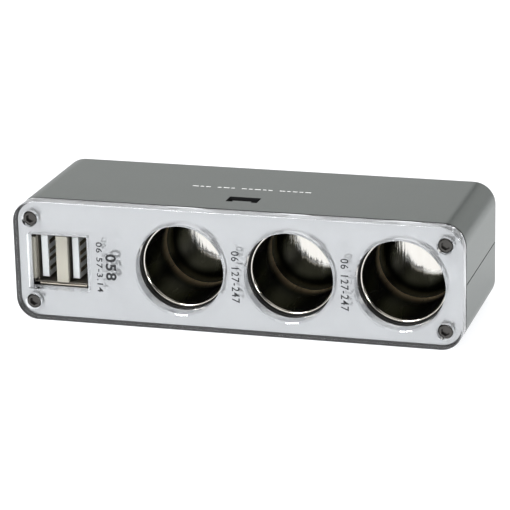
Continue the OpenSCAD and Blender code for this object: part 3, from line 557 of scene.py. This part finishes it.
for i, x in enumerate(sockets["xs"]):
    piece = turnRings("socketCup%d" % (i + 1), x, 0, cupRings, 128, closed=True)
    smooth(piece, 40, even=False)
    settle(piece, "housing", "cup_nickel", drawnNickel, "socket_cup_%d" % (i + 1))

    # sprung contact: a barely domed brushed plate on a stem, on its own body
    head = [(0.4, 22.8), (3.0, 22.82), (6.0, 22.88), (8.5, 22.96), (10.38, 23.04), (10.5, 23.06), (10.55, 23.12),
            (10.55, 23.25), (10.5, 23.32), (10.38, 23.35), (1.2, 23.35), (1.2, 30.0), (1.1, 30.05)]
    piece = turnRings("contact%d" % (i + 1), x, 0, head, 128, capped=True)
    smooth(piece, 35)
    settle(piece, "contact_%d" % (i + 1), "contact_plate", brushedNickel, "contact_%d" % (i + 1))

    # return spring: a ring of wire swept round the axis
    spring = dict(wire=0.25, radius=1.9, front=29.95, back=34.6, turns=5)
    dropSelection()
    bpy.ops.mesh.primitive_circle_add(vertices=12, radius=spring["wire"], fill_type="NOTHING",
                                      location=(spring["radius"], 0, 0))
    piece = startPiece("contactSpring%d" % (i + 1))
    bpy.ops.object.mode_set(mode="OBJECT")
    coil = piece.modifiers.new("coil", "SCREW")
    coil.axis = "Y"
    coil.angle = 2 * math.pi
    coil.screw_offset = (spring["back"] - spring["front"]) / spring["turns"]
    coil.iterations = spring["turns"]
    coil.steps = coil.render_steps = 28
    coil.use_normal_calculate = True
    bpy.ops.object.modifier_apply(modifier=coil.name)
    piece.data.transform(Matrix.Translation((x, spring["front"], 0)))
    bpy.ops.object.mode_set(mode="EDIT")
    pick("EDGE", lambda e: len(e.link_faces) == 1)  # closes the wire's cut ends
    bpy.ops.mesh.fill_holes(sides=0)
    bpy.ops.mesh.select_all(action="SELECT")
    bpy.ops.mesh.normals_make_consistent(inside=False)
    smooth(piece, 50, even=False)
    settle(piece, "housing", "steel", springWire, "contact_spring_%d" % (i + 1))
    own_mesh(piece)
print("sockets made")

# ---- plate screws: socket-head cap screws in the plate's counterbores
screw = dict(front=0.5, head=1.6, headRadius=1.95, shank=1.0, length=10.0, key=1.5, keyDepth=0.9)
front, back = screw["front"], screw["front"] + screw["head"]
rings = [(0.6, front), (1.45, front), (1.65, front + 0.05), (1.82, front + 0.16), (1.92, front + 0.32),
         (screw["headRadius"], front + 0.5), (screw["headRadius"], back), (screw["shank"], back),
         (screw["shank"], back + screw["length"] - 0.3), (0.7, back + screw["length"])]
firstScrew = turnRings("plateScrew1", 0, 0, rings, 48, capped=True)
keyCutter = addRod("keyCutter", (0, front - 1, 0), 1 + screw["keyDepth"], screw["key"] / math.sqrt(3) + 0.3, "Y", 6)
cutWith(firstScrew, keyCutter)
smooth(firstScrew, 30, even=False)
plateScrews = []
for index, (sx, sz) in enumerate([(-1, 1), (1, 1), (1, -1), (-1, -1)]):
    shift = (sx * plate["screwX"], 0, sz * plate["screwZ"])
    plateScrews.append(copyPiece(firstScrew, "plateScrew%d" % (index + 2), shift))
bpy.data.objects.remove(firstScrew, do_unlink=True)
for index, piece in enumerate(plateScrews):
    piece.name = piece.data.name = "plateScrew%d" % (index + 1)
    settle(piece, "housing", "black_screw", screwSteel, "plate_screws")

# ---- USB outlets: folded shield with port liners, cream face with its divider, two tongues with their contacts
usb = dict(x=-46.7, z=-0.55, shieldW=16.0, shieldH=13.1, shieldFront=4.65, shieldBack=20.65, sheet=0.35,
           ports=(-50.85, -42.55), tongueShift=-1.15, tongueT=1.84, tongueH=11.1, tongueFront=6.05, tongueBack=14.95,
           dividerW=3.1, stripW=0.85, faceFront=4.05, faceBack=5.05, liner=0.3, portH=12.2, pins=(-3.5, -1.0, 1.0, 3.5))
ux, uz = usb["x"], usb["z"]
inside = usb["shieldW"] / 2 - usb["sheet"] - 0.05
shield = addBlock("usbShield", (ux - usb["shieldW"] / 2, usb["shieldFront"], uz - usb["shieldH"] / 2),
                  (ux + usb["shieldW"] / 2, usb["shieldBack"], uz + usb["shieldH"] / 2))
roundEdges(lambda e: runsAlong(e, 1), 0.4, 4)
pick("FACE", lambda f: faces(f, 1, -1))
bpy.ops.mesh.delete(type="FACE")
bpy.ops.object.mode_set(mode="OBJECT")
walls = shield.modifiers.new("sheet", "SOLIDIFY")
walls.thickness = usb["sheet"]
walls.offset = -1
bpy.ops.object.modifier_apply(modifier=walls.name)
folds = []
for side in (-1, 1):
    # folded flange above the mouth, and a flared one below it that plugs slide in over
    low, high = sorted((side * (usb["shieldH"] / 2 - 0.17), side * (usb["shieldH"] / 2 + 0.25)))
    flap = addBlock("flap", (ux - 6.3, usb["shieldFront"], uz + low), (ux + 6.3, usb["shieldFront"] + 0.6, uz + high))
    pick("FACE", lambda f: liesAt(f, 1, usb["shieldFront"]))
    bpy.ops.transform.translate(value=(0, -0.3, side * 0.35))
    roundEdges(lambda e: runsAlong(e, 0) and liesAt(e, 1, usb["shieldFront"] - 0.3), 0.12, 3)
    folds.append(flap)
    for edge in (usb["dividerW"] / 2 - usb["liner"], inside - usb["stripW"]):
        # the sheet walls of the ports, beside the divider and beside the outer strips
        left, right = sorted((side * edge, side * (edge + usb["liner"])))
        liner = addBlock("portLiner", (ux + left, usb["faceBack"] + 0.05, uz - usb["shieldH"] / 2 + 0.17),
                         (ux + right, usb["tongueBack"] - 0.05, uz + usb["shieldH"] / 2 - 0.17))
        roundEdges(lambda e: runsAlong(e, 2), 0.06, 2)
        folds.append(liner)
joinPieces(shield, folds)
smooth(shield, 30)
settle(shield, "housing", "bright_nickel", shieldTin, "usb_shield")

frameBlocks = []
core = usb["dividerW"] / 2 - usb["liner"] - 0.05
web = inside - usb["stripW"] + usb["liner"] + 0.05
portHalf, tongueHalf, faceFront, faceBack = usb["portH"] / 2, usb["tongueH"] / 2, usb["faceFront"], usb["faceBack"]
coreFront, coreBack = faceBack - 0.3, usb["tongueBack"] + 0.3
for name, low, high in (
        ("usbFrame", (-inside, usb["tongueBack"], -portHalf), (inside, 20.3, portHalf)),
        ("dividerFace", (-usb["dividerW"] / 2, faceFront, -portHalf), (usb["dividerW"] / 2, faceBack, portHalf)),
        ("dividerCore", (-core, coreFront, -portHalf + 0.1), (core, coreBack, portHalf - 0.1)),
        ("leftStrip", (-inside - 0.43, faceFront, -tongueHalf),
         (-inside + usb["stripW"] - 0.3, faceFront + 0.5, tongueHalf)),
        ("leftWeb", (-inside + 0.05, coreFront, -tongueHalf + 0.1), (-web, coreBack, tongueHalf - 0.1)),
        ("rightStrip", (inside - usb["stripW"], faceFront, -tongueHalf), (inside, faceBack, tongueHalf)),
        ("rightWeb", (web, coreFront, -tongueHalf + 0.1), (inside - 0.05, coreBack, tongueHalf - 0.1))):
    block = addBlock(name, (ux + low[0], low[1], uz + low[2]), (ux + high[0], high[1], uz + high[2]))
    roundEdges(lambda e: True, 0.1, 2)
    frameBlocks.append(block)
joinPieces(frameBlocks[0], frameBlocks[1:])
smooth(frameBlocks[0], 30)
settle(frameBlocks[0], "housing", "cream_plastic", creamNylon, "usb_insulator")

tongues, pins = [], []
for port in usb["ports"]:
    middle = port + usb["tongueShift"]
    tongue = addBlock("usbTongues", (middle - usb["tongueT"] / 2, usb["tongueFront"], uz - usb["tongueH"] / 2),
                      (middle + usb["tongueT"] / 2, usb["tongueBack"], uz + usb["tongueH"] / 2))
    roundEdges(lambda e: liesAt(e, 1, usb["tongueFront"]), 0.22, 3)
    tongues.append(tongue)
    for pinZ in usb["pins"]:
        # each contact is a strip with a crowned back and a turned-in tip
        face, tip = middle + usb["tongueT"] / 2, usb["tongueFront"] + 0.7
        pin = addBlock("usbContacts", (face - 0.05, tip, uz + pinZ - 0.5),
                       (face + 0.15, usb["tongueBack"], uz + pinZ + 0.5))
        roundEdges(lambda e: liesAt(e, 0, face + 0.15) and (runsAlong(e, 1) or liesAt(e, 1, tip)), 0.1, 3)
        pins.append(pin)
joinPieces(tongues[0], tongues[1:])
smooth(tongues[0], 30)
settle(tongues[0], "housing", "white_plastic", whiteNylon, "usb_tongues")
joinPieces(pins[0], pins[1:])
smooth(pins[0], 30)
settle(pins[0], "housing", "gold_contact", pinPlating, "usb_contacts")
print("USB outlets made")

# ---- cord inlet in the back wall
inlet = dict(x=-44.05, bore=2.6, neck=4.4, flange=6.0)
bore, neck, flange = inlet["bore"], inlet["neck"], inlet["flange"]
rings = [(bore, 38.1), (bore, 42.7), (2.9, 42.95), (3.3, 43.0), (5.4, 43.0), (5.8, 42.85), (flange, 42.5),
         (flange, 41.5), (neck, 41.5), (neck, 39.5), (flange, 39.5), (flange, 38.1), (bore, 38.1)]
piece = turnRings("cordInlet", inlet["x"], 0, rings, 64, closed=True)
smooth(piece, 35, even=False)
settle(piece, "housing", "inlet_rubber", blackPvc, "cord_inlet")

# ---- printed marks: plain numbers and strokes, ink on the plate's front and on the top
ink = dict(thick=0.02, gap=0.012)


def printNumber(name, words, middle, height, bold, turned, span):
    # flat text turned to a mesh; it stands on the plate and reads downwards when turned
    dropSelection()
    bpy.ops.object.text_add(location=(0, 0, 0))
    text = bpy.context.object
    text.data.body = words
    text.data.size = height / 0.7
    text.data.align_x = "CENTER"
    text.data.align_y = "CENTER"
    text.data.offset = bold
    text.data.extrude = ink["thick"] / 2
    text.data.space_character = 1.15
    bpy.ops.object.convert(target="MESH")
    piece = bpy.context.object
    piece.name = piece.data.name = name
    piece.data.transform(Matrix.Scale(span / piece.dimensions.x, 4, (1, 0, 0)))
    upright = Matrix.Rotation(math.pi / 2, 4, "X")
    aside = Matrix.Rotation(math.pi / 2 if turned else 0, 4, "Y")
    piece.data.transform(Matrix.Translation((middle[0], -ink["gap"], middle[1])) @ aside @ upright)
    bpy.ops.object.mode_set(mode="EDIT")
    bpy.ops.mesh.select_all(action="SELECT")
    bpy.ops.mesh.remove_doubles(threshold=0.0005)
    bpy.ops.object.mode_set(mode="OBJECT")
    return settle(piece, "housing", "black_plastic", blackInk)


for index, x in enumerate((0.35, 28.3)):
    printNumber("socketPrint%d" % (index + 1), "06 127-247", (x, -0.55), 1.95, 0.03, True, 13.5)
printNumber("usbPrintLarge", "058", (-32.3, -0.35), 2.6, 0.1, True, 6.9)
printNumber("usbPrintSmall", "06 57-3.14", (-35.25, -0.5), 1.5, 0.035, True, 13.2)

dashes = []
mark = dict(start=-16.9, y=22.2, height=1.5, top=box["height"] / 2)
lengths = (1.6, 0.9, 1.2, 0.0, 1.0, 1.5, 0.9, 0.0, 1.3, 1.0, 1.6, 0.9, 1.1, 0.0, 1.4, 0.9, 1.2, 1.0, 1.5)
x = mark["start"]
for length in lengths:
    if length:
        nearEdge = mark["y"] - mark["height"] / 2
        dashes.append(addBlock("topPrint", (x, nearEdge, mark["top"] - 0.01),
                               (x + length, nearEdge + 0.5, mark["top"] + 0.012)))
    x += (length or 0.8) + 0.55
joinPieces(dashes[0], dashes[1:])
settle(dashes[0], "housing", "white_plastic", whiteInk)
print("prints made")

# ---- floor, light and camera
dropSelection()
bpy.ops.mesh.primitive_plane_add(size=6, location=(0, 0, -0.0001))
floor = bpy.context.object
floor.name = floor.data.name = "floor"
# the backlit sheet of a light table
floorPaper, tree, shader, place = newMaterial("lightTable", {
    "Base Color": linear("#8C8C8C"), "Roughness": 0.9, "Specular IOR Level": 0.1,
    "Emission Color": linear("#FCFDFF"), "Emission Strength": 0.9})
floor.data.materials.append(floorPaper)

world = bpy.data.worlds.new("studio")
scene.world = world
world.use_nodes = True
world.node_tree.nodes["Background"].inputs["Color"].default_value = (0.93, 0.96, 1.0, 1)
world.node_tree.nodes["Background"].inputs["Strength"].default_value = 0.03

softboxes = {  # place, aim, width, height, power
    "overhead": ((0.0, 0.1, 1.2), (0, 0, 0), 1.5, 1.5, 12),
    "behindLeft": ((-0.52, 1.15, 0.42), (0, 0, 0), 0.95, 0.75, 2.0),
    "behindRight": ((0.51, 1.1, 0.42), (0, 0, 0), 1.08, 0.75, 2.0),
    "frontLeft": ((-0.45, -0.6, 1.0), (0, 0, 0), 0.5, 0.5, 14),
    "frontRight": ((0.62, -0.52, 0.2), (0, 0, 0), 0.16, 0.16, 2.2),
    "frontLow": ((-0.3, -0.95, 0.5), (0, 0, 0), 1.5, 0.8, 3.6)}
for name, (spot, aim, width, height, power) in softboxes.items():
    light = bpy.data.lights.new(name, "AREA")
    light.shape = "RECTANGLE"
    light.size, light.size_y, light.energy = width, height, power
    lamp = bpy.data.objects.new(name, light)
    lamp.location = spot
    lamp.rotation_euler = (Vector(aim) - Vector(spot)).to_track_quat("-Z", "Y").to_euler()
    scene.collection.objects.link(lamp)

# a narrow snoot lights only the outlets in their window
snoot = bpy.data.lights.new("usbSnoot", "SPOT")
snoot.energy, snoot.spot_size, snoot.spot_blend, snoot.shadow_soft_size = 6.0, math.radians(1.5), 0.3, 0.01
lamp = bpy.data.objects.new("usbSnoot", snoot)
lamp.location = (0.04, -0.62, 0.09)
lamp.rotation_euler = (toRowFrame @ Vector((usb["x"], 5, usb["z"])) - lamp.location).to_track_quat("-Z", "Y").to_euler()
scene.collection.objects.link(lamp)

view = dict(place=(0.181694, -0.614945, 0.22183), yaw=0.287993, pitch=0.312931, roll=-0.022694, lens=186.34)
ahead = Vector((-math.sin(view["yaw"]) * math.cos(view["pitch"]),
                math.cos(view["yaw"]) * math.cos(view["pitch"]), -math.sin(view["pitch"])))
level = Vector((math.cos(view["yaw"]), math.sin(view["yaw"]), 0))
up = level.cross(ahead)
c, s = math.cos(view["roll"]), math.sin(view["roll"])
right, upright = level * c + up * s, up * c - level * s
camera = bpy.data.objects.new("camera", bpy.data.cameras.new("camera"))
camera.matrix_world = Matrix((right, upright, -ahead)).transposed().to_4x4()
camera.location = view["place"]
camera.data.lens = view["lens"]
camera.data.sensor_width = 36
camera.data.clip_start = 0.01
scene.collection.objects.link(camera)
scene.camera = camera
scene.view_settings.view_transform = "Standard"

print("scene finished")
